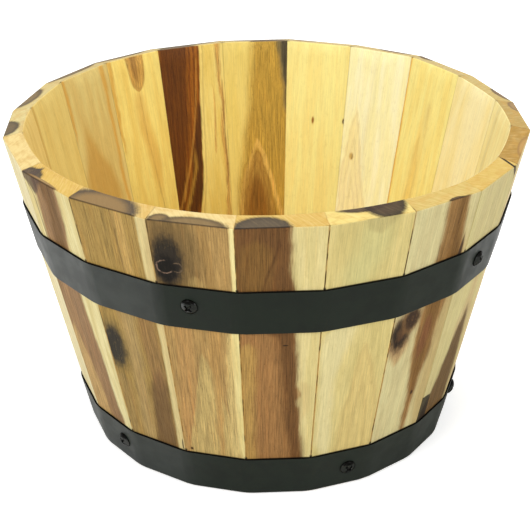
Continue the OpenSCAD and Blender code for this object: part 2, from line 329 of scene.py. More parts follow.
STAVES[12] = stave(("E6D898", "DCC77E"), ("E6D17C", "DEC164"), "C1AD75", 6, 9, [
    streak("8A6336", 1.2, 1.0, [(0, -8, 40), (80, -4, 40), (150, 0, 40), (206, -3, 40)]),
    streak("8E5410", 0.9, 1.0, [
        (0, 9, 40), (80, 4, 40), (110, -0.4, 40), (130, -1.6, 40), (170, -3.8, 40),
        (206, -6.6, 40)], face="in", rings=(3.4, 0.25)),
    streak("542C02", 3, 0.85, [
        (60, 18, 30), (90, 14, 30), (130, 9, 30), (170, 6, 28), (206, 3, 24)], face="in"),
    streak("3E2004", 1.6, 0.8, [
        (70, 14, 6), (78, 6, 14), (100, 1, 10), (130, -1, 5), (160, -3, 0), (170, 0, -4)], face="in"),
    streak("B07C30", 0.5, 0.7, [
        (84, 20, 14), (100, 13.6, 15.4), (120, 8, 9.6), (150, 1.6, 3), (178, -1.8, -0.8),
        (196, -3.4, -2.6), (202, -1, -5)], face="in"),
    streak("B58A34", 1.5, 0.6, [
        (76, 18, 12), (88, 11, 14), (104, 6.6, 9.4), (124, 3, 5), (136, 5, 2)], face="in"),
    streak("A8782C", 1.2, 0.6, [(76, 26, 20), (88, 17.6, 20), (108, 12, 14), (130, 10, 8)], face="in"),
    streak("BE9048", 1.2, 0.85, [
        (0, -19, -15), (90, -19.6, -16.4), (115, -20.6, -18), (140, -20.4, -17.4), (165, -22.4, -19.4),
        (185, -21.4, -18.6), (206, -22.4, -18.4)], face="in"),
    streak("8A5E2C", 0.5, 0.7, [
        (100, -19, -21), (110, -20.4, -19.8), (150, -21.2, -20.4), (176, -22, -21.2),
        (186, -20, -23)], face="in"),
    streak("C08A44", 0.5, 0.6, [
        (120, -10, -14), (130, -13, -11.6), (170, -15, -14), (190, -12, -16)], face="in"),
], ends=[
    (10, 14, 9, "in", "6E5A42", "4C3E30"),
    (0, 26, 7, "out", "5A4A36", "3E3428"),
])
STAVES[13] = stave(("EADFA8", "DFCB8A"), ("EED87C", "E6C869"), "C1AD75", 7, 5, [
    streak("98723C", 1.6, 1.0, [(0, -40, -6), (90, -40, -9), (150, -40, -8), (206, -40, -11)]),
    streak("A87A34", 0.9, 0.8, [
        (179, 2, -4), (183, -4, 2), (187, -6.4, 4), (196, -8, 5.4), (206, -9, 6.6)], face="in"),
    streak("CA9E4E", 1.0, 0.9, [(182, 2, -4), (186, -4, 2), (192, -6, 3.6), (206, -7.6, 5)], face="in"),
    streak("8E6430", 2.5, 0.75, [(184, 2, -3), (192, -2.4, 1.6), (206, -4, 3)], face="in"),
    streak("A88848", 0.7, 0.55, [
        (80, -6, -8), (90, -7, -6), (126, -4.4, -3.2), (150, -2, -0.8), (176, -1.4, -0.4),
        (182, 0, -2)], face="in"),
    streak("D2A24A", 3, 0.5, [
        (100, -4, -8), (120, -9, -3), (150, -6, 3), (176, -4, 4), (186, 3, -3)], face="in"),
    streak("CE9C40", 1.2, 0.8, [(120, 18, 14), (150, 17, 19), (206, 18, 22)], face="in"),
], ends=[(4, 24, 7, "out", "6E5A3C", "4A3C2A")])
STAVES[14] = stave(("E0CF8A", "D4BA74"), ("D9C47C", "D2B76E"), "C1AD75", 6, 5, [
    streak("A5803F", 2.4, 1.0, [(0, -6, 17), (80, -9, 17), (206, -14, 20)]),
    streak("C29748", 4.5, 0.78, [
        (0, -14, 18), (90, -11, 19), (130, -8, 20), (150, 2, 15), (166, 9, 11), (174, 12, 8)], face="in"),
    streak("D39C3E", 1.4, 0.7, [(0, -16, -13), (206, -19, -16)], face="in"),
    streak("D39C3E", 1, 0.7, [(150, 22, 19), (170, 20, 22), (206, 21, 24)], face="in"),
], ends=[(0, 26, 7, "out", "74603F", "4C3E2C")])
STAVES[15] = stave(("DECB86", "D2B97A"), ("E1C97A", "DBBF6E"), "C8B579", 8, 5, [
    streak("76532A", 1.4, 1.0, [(0, 2, 40), (80, 0, 40), (150, 4, 40), (206, 1, 40)]),
    streak("C8A052", 0.8, 0.7, [(0, 17, 19), (206, 22, 24)], face="in"),
], knots=[knot((14, 96), (7, 14), "2E2622", "5E4A34")], ends=[(4, 19, 8.5, "out", "74603F", "4C3E2C")])
STAVES[16] = stave(("E8DAA0", "DCC888"), ("E4C87C", "DCBC6C"), "CEBD81", 8, 8, [
    streak("A5803F", 2, 1.0, [(0, -40, 3), (90, -40, 1), (206, -40, 5)]),
], ends=[(10, 14, 9, "out", "5E4E36", "3E3424")])
STAVES[17] = stave(("E6DAAC", "DCCD9A"), ("E8CB78", "DDBB66"), "DBC281", 12, 12, [
    streak("DCC88C", 3, 0.6, [(0, -6, 3), (206, -10, -2)]),
])
STAVES[18] = stave(("DDD19A", "D0BE80"), ("E0BC66", "D9B25A"), "CCA955", 9, 9, [
    streak("947147", 1.8, 1.0, [
        (0, -40, 13), (30, -40, 11.4), (50, -40, 9), (70, -40, 7.8), (90, -40, 7), (110, -40, 5.4),
        (130, -40, 3.4), (150, -20, 5), (161, -17, 6.4), (170, -16.6, 8.4), (190, -15.6, 10.4),
        (206, -16, 11)]),
    streak("8C6B45", 3, 0.8, [(0, 4, 13), (50, -1, 8.5), (90, -6, 6), (130, -10, 3.4), (150, 4, -8)]),
    streak("6A4814", 3.5, 0.85, [(152, 8, -10), (161, -8, 4), (190, -7, 7), (206, -8, 8)]),
    streak("B8965C", 2.2, 0.85, [
        (0, -22, 0), (30, -22, -3), (60, -22, -7), (90, -22, -14.6), (102, -16, -19)]),
    streak("4E3828", 2, 0.85, [(192, -14, -18), (198, -20, -12), (202, -24, -9), (206, -40, -5)]),
    streak("6A4C30", 0.5, 0.8, [
        (158, -15, -18), (163, -18.2, -17.4), (190, -18.6, -17.8), (199, -22, -21), (204, -26, -24.6)]),
], ends=[
    (-18, 11, 7.4, "out", "4E4034", "363028"),
    (-16.5, 3, 9.6, "out", "4E4034", "403830"),
    (-4, 17, 2.2, "out", "9A7C50", "86683E"),
])
STAVES[19] = stave(("D7C58A", "C6AF77"), ("E0BC66", "D9B25A"), "CCAB63", 12, 12, [
    streak("9F8142", 0.8, 1.0, [
        (0, -40, 13), (30, -40, 15), (60, -40, 16.6), (90, -40, 17.8), (131, -40, 18.8), (160, -40, 18.2),
        (206, -40, 19)], deep=40),
    streak("A48A58", 3.5, 0.75, [(0, -14, -3), (60, -9, 0), (100, -9, 1), (131, -10, 2), (150, -4, -10)]),
    streak("917746", 3, 0.6, [(10, -14, -20), (30, -22, -14), (70, -24, -12), (84, -14, -22)]),
    streak("6A4E2B", 2.6, 0.9, [(0, -3, 13), (30, -1, 14.6), (60, 2, 15.6), (80, 5, 16.4), (100, 15, 9)]),
    streak("86643A", 3, 0.7, [(70, 12, 6), (90, 5, 17), (131, 4, 18), (150, 16, 8)]),
    streak("7A5C2C", 0.4, 0.8, [(155, 3.4, 1.4), (161, 2.4, 3.2), (190, 1.8, 2.6), (206, 1.4, 2.2)]),
    streak("BE9A58", 1.6, 0.6, [(152, 8, 4), (161, 3, 10), (206, 3, 10)]),
    streak("2E2014", 0.4, 0.9, [(29, 20, 18.6), (32, 18.4, 19.4), (38, 18.8, 19.6), (42, 20.4, 19)]),
], knots=[knot((-17.8, 102), (8.4, 18), "2A261E", "6E5A2E")], ends=[
    (-6, 26, 14.6, "out", "856A43", "3A3430"),
])
STAVES[20] = stave(("E6D898", "DAC680"), ("E6C770", "DDB95E"), "D5BD80", 9, 9, [
    streak("AA8850", 0.9, 1.0, [
        (0, -40, 14.4), (30, -40, 15.2), (80, -40, 16), (131, -40, 17.6), (160, -40, 20.2),
        (206, -40, 21.8)]),
    streak("B48A52", 2.4, 0.6, [
        (20, -10, -14), (40, -18, -12), (80, -18, -8), (110, -16, -6), (135, -14, -7), (145, -8, -14)]),
    streak("BDA466", 1.6, 0.9, [
        (0, -20, 18), (30, -16, 17), (60, -11, 11.6), (90, -6, 5.4), (108, -3, 0.4),
        (116, 0, -4)], rings=(8, 0.05)),
    streak("9A7242", 0.8, 0.5, [
        (16, -16, -20), (30, -17.6, -16.4), (60, -12.6, -11.4), (90, -7.4, -6.2), (106, -4.4, -3.4),
        (114, -1, -3)]),
    streak("B28A4E", 1.6, 0.7, [
        (20, 6, 2), (30, 3, 6), (50, 3, 7), (90, 2.6, 8), (125, 3, 11), (140, 11, 5)]),
    streak("D2BA78", 2, 0.7, [(20, 15, 11), (40, 11, 16), (90, 12, 18), (125, 14, 19), (140, 19, 15)]),
    streak("6B542E", 6, 0.7, [(148, -14, -22), (160, -26, 0), (185, -26, 5), (206, -26, 0)]),
    streak("94723C", 2, 0.5, [(152, 12, 6), (162, 6, 11), (206, 3, 9)]),
    streak("B79A5C", 2.5, 0.5, [(150, 8, 2), (158, -4, 8), (166, -4, 4), (172, 2, -3)]),
], knots=[
    knot((-15.2, 180), (9.4, 19), "2C261D", "5E4A2A"),
    knot((-16, 174), (7, 11), "17130E", "302820"),
    knot((-15, 33), (0.9, 1.2), "34200F", "8A6438"),
], ends=[
    (-17.5, 7, 6.5, "out", "7A633F", "54452F"),
    (2, 19, 6.6, "out", "7A633F", "54452F"),
], swirls=[
    (-17.3, 174.8, 4.6, "866B58", 25),
    (-10.4, 174.8, 3.2, "6A5640", 180),
])


# ----------------------------------------
# Materials


def board_position(tree, board):
    """Where a point lies on its board, in millimetres: across it, in from its outer face, and up it."""
    return add(tree, "ShaderNodeMapping", {
        "Vector": place_on(tree), "Location": board["foot"],
        "Rotation": board["rotation"], "Scale": (MM, MM, MM),
    }, vector_type="TEXTURE")


def noise(tree, board, position, size, detail=2.0, roughness=0.5, shift=0.0, turn=0.0):
    """Noise from 0 to 1 with blobs of this size in millimetres across, into and up the board."""
    stretched = add(tree, "ShaderNodeMapping", {
        "Vector": position, "Scale": size, "Rotation": (0.0, 0.0, math.radians(turn)),
        "Location": (board["number"] * 71.0 + shift * 9, shift * 31.0, board["number"] * 913.0),
    }, vector_type="TEXTURE")
    return add(tree, "ShaderNodeTexNoise", {
        "Vector": stretched, "Scale": 1.0, "Detail": detail, "Roughness": roughness,
    }).outputs[0]


def outline(tree, height, points):
    """A distance in millimetres that changes with the height up the board as these points say."""
    curve = add(tree, "ShaderNodeFloatCurve", {"Value": height})
    line = curve.mapping.curves[0].points
    spots = [(z / HEIGHT_RANGE, d / (2 * SIDE_RANGE) + 0.5) for z, d in sorted(points)]
    line[0].location = spots[0]
    line[1].location = spots[-1]
    for spot in spots[1:-1]:
        line.new(*spot)
    for point in line:
        point.handle_type = "AUTO_CLAMPED"
    curve.mapping.extend = "HORIZONTAL"
    curve.mapping.update()
    return scaled(tree, curve.outputs[0], 2 * SIDE_RANGE, -SIDE_RANGE)


def inside_streak(tree, along, deep, across, depth, height):
    """How far in millimetres a point lies inside a streak, whose sides round off into the board."""
    middle = outline(tree, height, [(z, (left + right) / 2) for z, left, right in along])
    half = outline(tree, height, [(z, (right - left) / 2) for z, left, right in along])
    aside = math_node(tree, "SUBTRACT", across, middle)
    below = product(tree, depth, 1 / deep, half)
    return math_node(tree, "SUBTRACT", half, distance(tree, aside, below))


def growth_rings(tree, colour, inside, rings, rough):
    """Darkens thin lines that run side by side with a streak's edge, as growth rings do."""
    spacing, strength = rings
    turns = scaled(tree, rough, 1.6, product(tree, inside, math.tau / spacing))
    line = ramp(tree, math_node(tree, "SINE", turns), -0.3, 1.0, 0.0, strength * 2)
    line = product(tree, line, ramp(tree, inside, -5.0, 0.0))
    return darken(tree, line, colour, "8A5A2A")


def draw_streaks(tree, colour, wood, steady, wavy, depth, height, rough):
    """Lays the streaks over the sapwood in order, thin ones with steady edges and broad ones with wavy
    edges. Also returns how much of each point is heartwood."""
    heart = 0.0
    for band in wood["streaks"]:
        soft = band["soft"]
        face = band["face"]
        deep = band["deep"] or wood["deep"][face]
        across = steady if soft < 1.0 else wavy
        within = inside_streak(tree, band["along"], deep, across, depth[face], height)
        share = ramp(tree, within, -soft, soft, 0.0, band["strength"])
        colour = tint(tree, share, colour, band["colour"])
        if band["rings"]:
            colour = growth_rings(tree, colour, within, band["rings"], rough)
        if sum(linear(band["colour"])[:3]) < HEART_BRIGHTNESS:
            heart = math_node(tree, "MAXIMUM", heart, share)
    return colour, heart


def draw_grain(tree, colour, fibre, woody, inward, heart):
    """Fibres, pores and bands of denser growth along the board, stronger in the heartwood."""
    band = woody((2.2, 2.2, 55), 4.0, 0.65, 5.0)
    pore = woody((0.45, 0.45, 2.6), 1.0, 0.5, 8.0)
    sap_contrast = ramp(tree, inward, *FACE_SPLIT, 0.34, 0.2)
    contrast = ramp(tree, heart, 0.0, 1.0, sap_contrast, 0.95)
    grain = scaled(tree, fibre, 2.4, scaled(tree, band, 0.85, -1.62))
    grain = scaled(tree, grain, contrast, 1.0)
    light = add(tree, "ShaderNodeCombineXYZ", [grain, grain, grain])
    colour = darken(tree, 1.0, colour, light)
    warm = product(tree, ramp(tree, band, 0.5, 0.7), contrast, 0.25)
    colour = darken(tree, warm, colour, "E2B480")
    dash = product(tree, ramp(tree, pore, 0.62, 0.76), contrast, 0.45)
    return darken(tree, dash, colour, "8A6238")


def draw_knot(tree, colour, spot, across, depth, height, rough, cracks):
    """A near-black core with broken thin rings, fading through a stained halo."""
    (x, z), (wide, tall) = spot["at"], spot["size"]
    aside = past(tree, across, x, wide)
    along = past(tree, height, z, tall)
    below = product(tree, depth[spot["face"]], 1 / KNOT_DEPTH)
    reach = scaled(tree, rough, 0.6, distance(tree, aside, along, below))
    ring = math_node(tree, "SINE", scaled(tree, rough, 5.0, product(tree, reach, 15.0)))
    ring = product(tree, ramp(tree, ring, 0.75, 1.0), ramp(tree, cracks, 0.5, 0.62, 0.0, 0.55))
    core = tint(tree, ring, spot["core"], spot["halo"])
    core = tint(tree, ramp(tree, cracks, 0.46, 0.34, 0.0, 0.7), core, "17120F")
    if spot["eye"]:
        core = tint(tree, ramp(tree, reach, 0.5, 0.2, 0.0, 0.8), core, spot["eye"])
    smoky = scaled(tree, cracks, 0.16, math_node(tree, "SUBTRACT", reach, 0.08))
    colour = tint(tree, ramp(tree, smoky, 1.6, 0.7, 0.0, 0.75), colour, spot["halo"])
    return tint(tree, ramp(tree, smoky, 1.15, 0.55, 0.0, 0.96), colour, core)


def draw_swirl(tree, colour, swirl, across, inward, height, rough, mottle):
    """A thin, broken pale ring round a knot, open on one side."""
    x, z, radius, pale, open_side = swirl
    open_side = math.radians(open_side)
    aside = past(tree, across, x, radius)
    along = past(tree, height, z, radius)
    towards = product(tree, along, math.sin(open_side))
    towards = scaled(tree, aside, math.cos(open_side), towards)
    reach = scaled(tree, distance(tree, aside, along), radius, -radius)
    reach = scaled(tree, rough, 2.4, reach)
    line = product(tree, ramp(tree, math_node(tree, "ABSOLUTE", reach), 0.65, 0.15),
                   ramp(tree, mottle, 0.4, 0.5, 0.2, 0.8), ramp(tree, inward, 2.0, 1.0),
                   ramp(tree, towards, 0.7, 0.3))
    return tint(tree, line, colour, pale)


def end_grain(tree, wood, woody, across, inward, depth, rough, fray):
    """The brighter wood of a cut end, crossed by scratches, with the heartwood's stains on it."""
    scratch = woody((1.0, 10, 4), 2.0, 0.6, 6.0, 38.0)
    cloud = woody((9, 4, 5), 3.0, 0.6, 7.0)
    colour = tint(tree, ramp(tree, cloud, 0.42, 0.68, 0.0, 0.45), wood["rim"], "BE903E")
    colour = tint(tree, ramp(tree, scratch, 0.4, 0.75, 0.0, 0.2), colour, "F2E2A8")
    colour = tint(tree, ramp(tree, scratch, 0.5, 0.25, 0.0, 0.18), colour, "B89858")
    bend = scaled(tree, rough, 3.0, across)
    ragged = scaled(tree, scratch, 0.14, scaled(tree, fray, 0.1, -0.12))
    for middle, half, deep, face, inner, edge in wood["ends"]:
        aside = past(tree, bend, middle, half)
        below = product(tree, depth[face], 1 / deep)
        reach = math_node(tree, "ADD", distance(tree, aside, below), ragged)
        stain = tint(tree, ramp(tree, reach, 0.55, 0.94), inner, edge)
        stain = tint(tree, ramp(tree, scratch, 0.45, 0.75, 0.0, 0.12), stain, "A08458")
        colour = tint(tree, ramp(tree, reach, 1.13, 0.85, 0.0, 0.97), colour, stain)
    if "rim_gap" in wood:
        outer, inner = wood["rim_gap"]
        gap = scaled(tree, inward, (inner - outer) / STAVE_THICKNESS, outer)
        gap = math_node(tree, "ABSOLUTE", math_node(tree, "SUBTRACT", across, gap))
        colour = tint(tree, ramp(tree, gap, 1.2, 0.7), colour, "2A1C0C")
    return colour


def joint_distance(tree, board, across, inward, up):
    """How far in millimetres a point lies from the nearer side of its board."""
    spread = board["spread"]
    half = scaled(tree, up, spread * math.sin(board["lean"]), spread * board["foot_distance"])
    half = scaled(tree, inward, -spread * math.cos(board["lean"]), half)
    return math_node(tree, "SUBTRACT", half, math_node(tree, "ABSOLUTE", across))


def glue_line(tree, colour, strengths, joint, woody, across, inward, up, heart):
    """The fine line where two boards are glued, darker where damp has risen into it."""
    worn = woody((8, 8, 12), 2.0, 0.6, 7.0)
    damp = ramp(tree, up, 105, 135, 0.0, 0.12)
    glue = tint(tree, ramp(tree, math_node(tree, "ADD", worn, damp), 0.5, 0.66), "BE9048", "5E461C")
    line = product(tree, ramp(tree, joint, 0.6, 0.25), ramp(tree, worn, 0.3, 0.6, 0.45, 0.95),
                   ramp(tree, inward, 2.0, 6.0, 1.0, 0.3), ramp(tree, heart, 0.0, 1.0, 1.0, 0.5),
                   ramp(tree, across, -1, 1, *strengths))
    return tint(tree, line, colour, glue)


def painted_hoop_shade(tree, colour, level, inward, joint):
    """Painted shade: a dark line on the wood just above each hoop's top, standing a little higher in the
    joints, where the hoop shades them.
    """
    near = ramp(tree, inward, 3.0, 1.0)
    for top in HOOP_TOPS:
        above = math_node(tree, "SUBTRACT", level, top)
        not_under = ramp(tree, above, -3.0, -2.0)
        line = product(tree, ramp(tree, above, 0.85, 0.35), not_under)
        notch = product(tree, ramp(tree, above, 2.6, 0.8), not_under, ramp(tree, joint, 1.2, 0.5))
        contact_shade = product(tree, math_node(tree, "MAXIMUM", line, notch), near, 0.93)
        colour = tint(tree, contact_shade, colour, "1C1712")
    return colour


def acacia_board(name, board, wood):
    """Acacia, planed and clear-oiled. Pale sapwood and brown heartwood meet in feathered edges, with
    fine fibres and pores along the board, dark knots, and brighter end grain with brown stains."""
    material, tree = new_material(name)
    position = board_position(tree, board)
    woody = partial(noise, tree, board, position)
    across, inward, up = add(tree, "ShaderNodeSeparateXYZ", [position]).outputs
    depth = {
        "out": math_node(tree, "MAXIMUM", inward, 0.0),
        "in": math_node(tree, "SUBTRACT", STAVE_THICKNESS, inward),
    }
    level = product(tree, inward, math.sin(board["lean"]))
    level = scaled(tree, up, math.cos(board["lean"]), level)

    # Nothing in wood runs straight: edges wander slowly, and fray along the fibres.
    wander = woody((16, 16, 26), 2.0, 0.5)
    fray = woody((0.9, 0.9, 8), 2.0, 0.6, 1.0)
    steady = math_node(tree, "SUBTRACT", scaled(tree, fray, 1.2, across), 0.6)
    wavy = scaled(tree, fray, 2.0, scaled(tree, wander, 5.0, steady))
    wavy = math_node(tree, "SUBTRACT", wavy, 3.5)
    rough = woody((2.4, 2.4, 4), 3.0, 0.65, 3.0)
    rough = math_node(tree, "SUBTRACT", rough, 0.5)

    # Sapwood: two tones that trade places in long, soft streaks
    broad = woody((6, 6, 60), 3.0, 0.55, 2.0)
    broad = ramp(tree, broad, 0.35, 0.65)
    colour = tint(tree, ramp(tree, inward, *FACE_SPLIT), tint(tree, broad, *wood["outside"]),
                  tint(tree, broad, *wood["inside"]))

    fibre = woody((0.7, 0.7, 20), 4.0, 0.75, 4.0)
    mottle = woody((3.5, 3.5, 6), 4.0, 0.7, 9.0)
    height = math_node(tree, "DIVIDE", up, HEIGHT_RANGE)
    colour, heart = draw_streaks(tree, colour, wood, steady, wavy, depth, height, rough)
    colour = draw_grain(tree, colour, fibre, woody, inward, heart)
    colour = darken(tree, ramp(tree, mottle, 0.5, 0.75, 0.0, 0.14), colour, "B4A070")
    for spot in wood["knots"]:
        colour = draw_knot(tree, colour, spot, across, depth, up, rough, fray)
    for swirl in wood.get("swirls", ()):
        colour = draw_swirl(tree, colour, swirl, across, inward, up, rough, mottle)

    # End grain shows on the rim and under the foot. The outer edge of the rim is darker in heartwood.
    rim = scaled(tree, across, board["slope"], board["top"])
    over = math_node(tree, "SUBTRACT", up, rim)
    end = math_node(tree, "MAXIMUM", ramp(tree, over, -0.5, -0.15), ramp(tree, level, 0.3, 0.1))
    cut = end_grain(tree, wood, woody, across, inward, depth, rough, fray)
    colour = tint(tree, end, colour, cut)
    lip = product(tree, ramp(tree, math_node(tree, "ABSOLUTE", over), 0.9, 0.3),
                  ramp(tree, inward, 1.0, 0.4), heart, 0.72)
    colour = darken(tree, lip, colour, "46341F")

    joint = joint_distance(tree, board, across, inward, up)
    strengths = wood.get("joint_lines", (1.0, 1.0))
    colour = glue_line(tree, colour, strengths, joint, woody, across, inward, up, heart)
    # Painted shade on the wood above each hoop, deeper in the joints.
    colour = painted_hoop_shade(tree, colour, level, inward, joint)

    bump = add(tree, "ShaderNodeBump", {"Strength": 0.3, "Distance": 0.0003, "Height": fibre})
    return shaded(material, {
        "Base Color": colour, "Roughness": ramp(tree, fibre, 0.3, 0.7, 0.64, 0.5),
        "Specular IOR Level": 0.2, "Normal": bump,
    })


def black_powder_coat(name, colour, roughness, shine, rim_shine, shade_from):
    """Steel under black powder coat: near black, with a faint orange peel that softens its sheen. Faces
    turned upward past a set slope are painted near black with hardly any shine: painted shade that draws
    the dark line along each hoop's top and darkens the top of each screw head. Recesses and edges close
    against a neighbour get the same painted shade, and a lower rim shine darkens the edge of a domed head
    as a painted shadow round it."""
    material, tree = new_material(name)
    peel = speckle(tree, 900.0, 2.0)
    cloud = speckle(tree, 90.0, 4.0)
    facing = add(tree, "ShaderNodeNewGeometry")
    facing = add(tree, "ShaderNodeSeparateXYZ", [facing.outputs["True Normal"]])
    # Painted shade: upward faces, recesses and edges against a neighbour go near black and lose their
    # shine.
    top = ramp(tree, facing.outputs["Z"], shade_from, shade_from + 0.3)
    open_air = add(tree, "ShaderNodeAmbientOcclusion", {"Distance": 0.0015}, samples=8)
    recess_shade = ramp(tree, open_air.outputs["AO"], 0.8, 0.4)
    top = math_node(tree, "MAXIMUM", top, recess_shade)
    dusty = [0.75 * c for c in colour] + [1.0]
    body = tint(tree, ramp(tree, cloud, 0.4, 0.7), list(colour) + [1.0], dusty)
    body = tint(tree, top, body, "0C0B09")
    # Painted shadow: less shine at a domed head's grazing edge rings it in dark.
    side = add(tree, "ShaderNodeLayerWeight", {"Blend": 0.5}).outputs["Facing"]
    side = ramp(tree, side, 0.35, 0.65, shine, rim_shine)
    bump = add(tree, "ShaderNodeBump", {"Strength": 0.12, "Distance": 0.0002, "Height": peel})
    return shaded(material, {
        "Base Color": body, "Roughness": ramp(tree, cloud, 0.3, 0.7, roughness - 0.05, roughness + 0.05),
        "Specular IOR Level": math_node(tree, "MINIMUM", ramp(tree, top, 0.0, 1.0, shine, 0.03), side),
        "Normal": bump,
    })


def zinc_plate(name):
    """Zinc-plated steel screws: pale metal with a slightly cloudy shine."""
    material, tree = new_material(name)
    cloud = speckle(tree, 400.0, 3.0)
    return shaded(material, {
        "Base Color": tint(tree, ramp(tree, cloud, 0.3, 0.7), "C9C6BC", "AFADA6"),
        "Metallic": 1.0, "Roughness": ramp(tree, cloud, 0.3, 0.7, 0.28, 0.42),
    })


def sawn_board(name, number, along_x):
    """Plain sawn acacia for the floor and battens: straight pale fibres, a little rough."""
    material, tree = new_material(name)
    quarter = math.radians(90)
    rotation = (0.0, quarter, 0.0) if along_x else (quarter, 0.0, 0.0)
    board = {"number": number, "foot": (0.0, 0.0, 0.0), "rotation": rotation}
    woody = partial(noise, tree, board, board_position(tree, board))
    broad = woody((9, 9, 260), 2.0, 0.5)
    fibre = woody((0.9, 0.9, 26), 3.0, 0.65, 4.0)
    dark = woody((16, 16, 420), 1.0, 0.5, 9.0)
    colour = tint(tree, ramp(tree, broad, 0.35, 0.65), "DDC58A", "CFB074")
    colour = tint(tree, ramp(tree, dark, 0.5, 0.7, 0.0, 0.55), colour, "AE8A55")
    colour = darken(tree, ramp(tree, fibre, 0.3, 0.75, 0.0, 0.4), colour, "8C6A3C")
    bump = add(tree, "ShaderNodeBump", {"Strength": 0.4, "Distance": 0.0004, "Height": fibre})
    return shaded(material, {
        "Base Color": colour, "Roughness": 0.68, "Specular IOR Level": 0.25, "Normal": bump,
    })


def studio_floor(name, settings):
    """A matt white sweep that shows white to the camera and keeps the planter's soft shadow. Its colour as
    the hoops mirror it is a painted reflection: white at the left and at the right behind, grey in front,
    and lighter near the feet."""
    material, tree = new_material(name)
    ray = add(tree, "ShaderNodeLightPath")
    seen = math_node(tree, "MAXIMUM", ray.outputs["Is Camera Ray"], ray.outputs["Is Transmission Ray"])
    glow = product(tree, seen, settings.floor_lift)
    place = place_on(tree)
    bearing = add(tree, "ShaderNodeVectorMath", [place], operation="NORMALIZE")
    bearing = add(tree, "ShaderNodeSeparateXYZ", [bearing])
    away = add(tree, "ShaderNodeVectorMath", [place], operation="LENGTH")
    # Painted reflection for the hoops: a white left side and right back, grey in front, lighter near the
    # feet.
    close = ramp(tree, away.outputs["Value"], 0.26, 0.14)
    painted_bright_side = scaled(tree, close, -0.3, bearing.outputs["X"])
    painted_bright_side = ramp(tree, painted_bright_side, -0.53, -0.95)
    behind = product(tree, ramp(tree, bearing.outputs["X"], 0.2, 0.5),
                     ramp(tree, bearing.outputs["Y"], -0.15, 0.45))
    dim = tint(tree, close, "90908A", "B4B4AE")
    mirrored = tint(tree, math_node(tree, "MAXIMUM", painted_bright_side, behind), dim, "FFFFFF")
    colour = tint(tree, ray.outputs["Is Glossy Ray"], "F4F4F2", mirrored)
    return shaded(material, {
        "Base Color": colour, "Roughness": 0.9, "Specular IOR Level": 0.1,
        "Emission Color": (1.0, 1.0, 1.0, 1.0), "Emission Strength": glow,
    })


# ----------------------------------------
# Shapes


def copy_of_node(name):
    """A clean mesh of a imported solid: its loose triangles merged into whole flat faces."""
    shape = bmesh.new()
    shape.from_mesh(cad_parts[name].data)
    bmesh.ops.remove_doubles(shape, verts=shape.verts, dist=1e-6)
    bmesh.ops.dissolve_limit(shape, angle_limit=math.radians(0.4), verts=shape.verts, edges=shape.edges)
    return shape


def long_edges(shape, least_angle=0.0):
    """The edges of whole boards, without those of bores and arcs."""
    return [edge for edge in shape.edges
            if edge.calc_length() > LONG_EDGE * MM and edge.calc_face_angle(0) >= least_angle]


def soften(shape, edges, width, segments):
    """Rounds these edges, each face giving up this many millimetres."""
    bmesh.ops.bevel(shape, geom=edges, offset=width * MM, offset_type="OFFSET", segments=segments,
                    profile=0.5, affect="EDGES", clamp_overlap=True, material=-1)


def score(shape, spot, across):
    """Cuts new edges into a shape along a plane through this spot."""
    bmesh.ops.bisect_plane(shape, geom=shape.verts[:] + shape.edges[:] + shape.faces[:], dist=1e-6,
                           plane_co=spot, plane_no=across)


def finished(shape, name, material, *nodes, slot):
    """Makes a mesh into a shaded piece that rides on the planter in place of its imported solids."""
    mesh = bpy.data.meshes.new(name)
    for face in shape.faces:
        face.smooth = True
    shape.to_mesh(mesh)
    shape.free()
    mesh.materials.append(material)
    piece = bpy.data.objects.new(name, mesh)
    bpy.context.scene.collection.objects.link(piece)
    weighted = piece.modifiers.new("Even shading", "WEIGHTED_NORMAL")
    weighted.keep_sharp = True
    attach(piece, "root")
    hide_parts(*nodes)


def axis_distance(spot, lean, foot_distance):
    """How far a spot on a board stands from the planter's axis, in millimetres."""
    return foot_distance + spot.z * math.sin(lean) - spot.y * math.cos(lean)


def stave_frame(shape, number):
    """How a stave stands, read from its own solid: its turn, lean, spread and the slope of its top."""
    outer = max(shape.faces, key=lambda f: f.calc_area() * f.normal.dot(
        Vector((f.calc_center_median().x, f.calc_center_median().y, 0)).normalized()))
    turn = math.atan2(outer.normal.x, -outer.normal.y)
    lean = math.asin(-outer.normal.z)
    reach = outer.normal.dot(outer.verts[0].co) / math.cos(lean)
    stand = (Matrix.Translation((reach * math.sin(turn), -reach * math.cos(turn), 0))
             @ Matrix.Rotation(turn, 4, "Z") @ Matrix.Rotation(lean, 4, "X"))
    to_board = Matrix.Scale(1 / MM, 4) @ stand.inverted()
    upright = stand.to_3x3().col[2]
    rim = max(shape.faces, key=lambda f: f.calc_area() * (f.normal.dot(upright) ** 9))
    normal = stand.to_3x3().inverted() @ rim.normal
    slope = -normal.x / normal.z
    corner = to_board @ rim.verts[0].co
    foot_distance = reach / MM
    spots = [to_board @ v.co for v in shape.verts]
    spread = max(abs(spot.x) / axis_distance(spot, lean, foot_distance) for spot in spots)
    return {
        "number": number, "lean": lean, "foot": stand.translation.copy(), "rotation": (lean, 0.0, turn),
        "stand": stand, "to_board": to_board, "foot_distance": foot_distance, "spread": spread,
        "top": corner.z - slope * corner.x, "slope": slope,
    }


def sand_rim(shape, board, hollow):
    """Hollows the top of a stave's inner face, as the drum that sanded the mouth round has done."""
    stand = board["stand"]
    sideways, inwards, upwards = stand.to_3x3().col
    for x in SANDED_ACROSS:
        score(shape, stand @ Vector((x * MM, 0, 0)), sideways)
    for below in SANDED_STEPS:
        score(shape, stand @ Vector((0, 0, (board["top"] - below) * MM)), upwards)
    for vert in shape.verts:
        spot = board["to_board"] @ vert.co
        half = board["spread"] * axis_distance(spot, board["lean"], board["foot_distance"])
        below = board["top"] + board["slope"] * spot.x - spot.z
        if spot.y > STAVE_THICKNESS - SANDED_SKIN and below < SANDED_STEPS[-1]:
            share = max(0.0, 1 - (spot.x / half) ** 2) * (1 - max(below, 0.0) / SANDED_STEPS[-1]) ** 2
            vert.co -= inwards * hollow * share * MM


